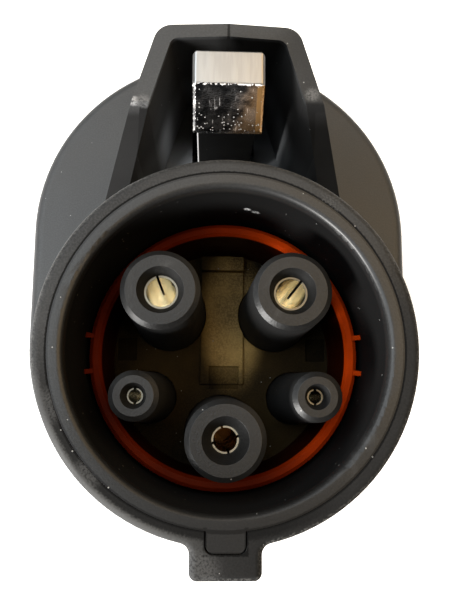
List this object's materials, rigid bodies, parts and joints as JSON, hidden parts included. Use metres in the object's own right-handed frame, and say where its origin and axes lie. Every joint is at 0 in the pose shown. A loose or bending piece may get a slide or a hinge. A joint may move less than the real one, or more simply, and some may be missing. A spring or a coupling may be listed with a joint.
{
  "type": "electric vehicle charging adapter",
  "caption": "Handheld electric vehicle charging adapter: round plug nose with contact tubes and a hooded metal latch, release button, and a round pin inlet at the back.",
  "frame": {"origin": "middle of the rear rim that the adapter stands on, on the axis of the rear inlet", "axes": "+Z out of the plug's mouth, +Y towards the latch and its button, +X to the right seen from the front with the latch up"},
  "size_m": [0.068, 0.0924, 0.14],
  "materials": {
    "shell_plastic": "charcoal, fine moulded grain",
    "collar_plastic": "charcoal, fine moulded grain",
    "barrel_plastic": "smooth black",
    "carrier_plastic": "smooth black",
    "floor_plastic": "olive brown, moulded",
    "seal_silicone": "red orange silicone",
    "inner_plastic": "dark grey",
    "lever_plastic": "black glass filled nylon",
    "button_plastic": "charcoal, fine grain",
    "plunger_plastic": "natural nylon",
    "hook_chrome": "nickel plated casting, brushed face",
    "contact_metal": "silver plated brass, turned",
    "pin_metal": "silver plated brass, turned",
    "screw_steel": "zinc plated steel",
    "board_green": "glass fibre board",
    "lead_rubber": "insulated copper lead"
  },
  "bodies": {
    "housing": {"housing_left": "shell_plastic", "housing_right": "shell_plastic", "housing_screws": "screw_steel", "front_collar": "collar_plastic", "nose_barrel": "barrel_plastic", "contact_carrier": "carrier_plastic", "floor_plate": "floor_plastic", "face_seal": "seal_silicone", "contact_retainer": "inner_plastic", "contact_screws": "screw_steel", "rear_collar": "collar_plastic", "inlet_core": "carrier_plastic", "pin_retainer": "inner_plastic", "pin_screws": "screw_steel", "contact_line": "contact_metal", "contact_neutral": "contact_metal", "contact_earth": "contact_metal", "contact_pilot": "contact_metal", "contact_proximity": "contact_metal", "pin_line": "pin_metal", "pin_neutral": "pin_metal", "pin_earth": "pin_metal", "pin_pilot": "pin_metal", "pin_proximity": "pin_metal", "lead_line": "lead_rubber", "lead_neutral": "lead_rubber", "lead_earth": "lead_rubber", "lead_pilot": "lead_rubber", "lead_proximity": "lead_rubber", "latch_pin": "screw_steel", "latch_spring": "screw_steel", "circuit_board": "board_green", "micro_switch": "inner_plastic"},
    "latch": {"latch_lever": "lever_plastic", "latch_hook": "hook_chrome"},
    "button": {"release_button": "button_plastic"},
    "plunger": {"switch_plunger": "plunger_plastic"}
  },
  "joints": [
    {"name": "latch_pivot", "type": "hinge", "parent": "housing", "child": "latch", "pos_m": [0, 0.0166, 0.101], "axis": [-1, 0, 0], "range_deg": [0, 3.8], "stiffness_Nm_per_rad": 0.5, "springref_deg": -28.65, "deforming": ["latch_spring"]},
    {"name": "button_press", "type": "slide", "parent": "housing", "child": "button", "axis": [0, -1, 0], "range_m": [0, 0.00233]},
    {"name": "switch_press", "type": "slide", "parent": "housing", "child": "plunger", "axis": [0, -1, 0], "range_m": [0, 0.00146]}
  ],
  "couplings": [
    {"joint": "button_press", "follows": "latch_pivot", "m_per_rad": 0.035},
    {"joint": "switch_press", "follows": "latch_pivot", "m_per_rad": 0.022}
  ]
}
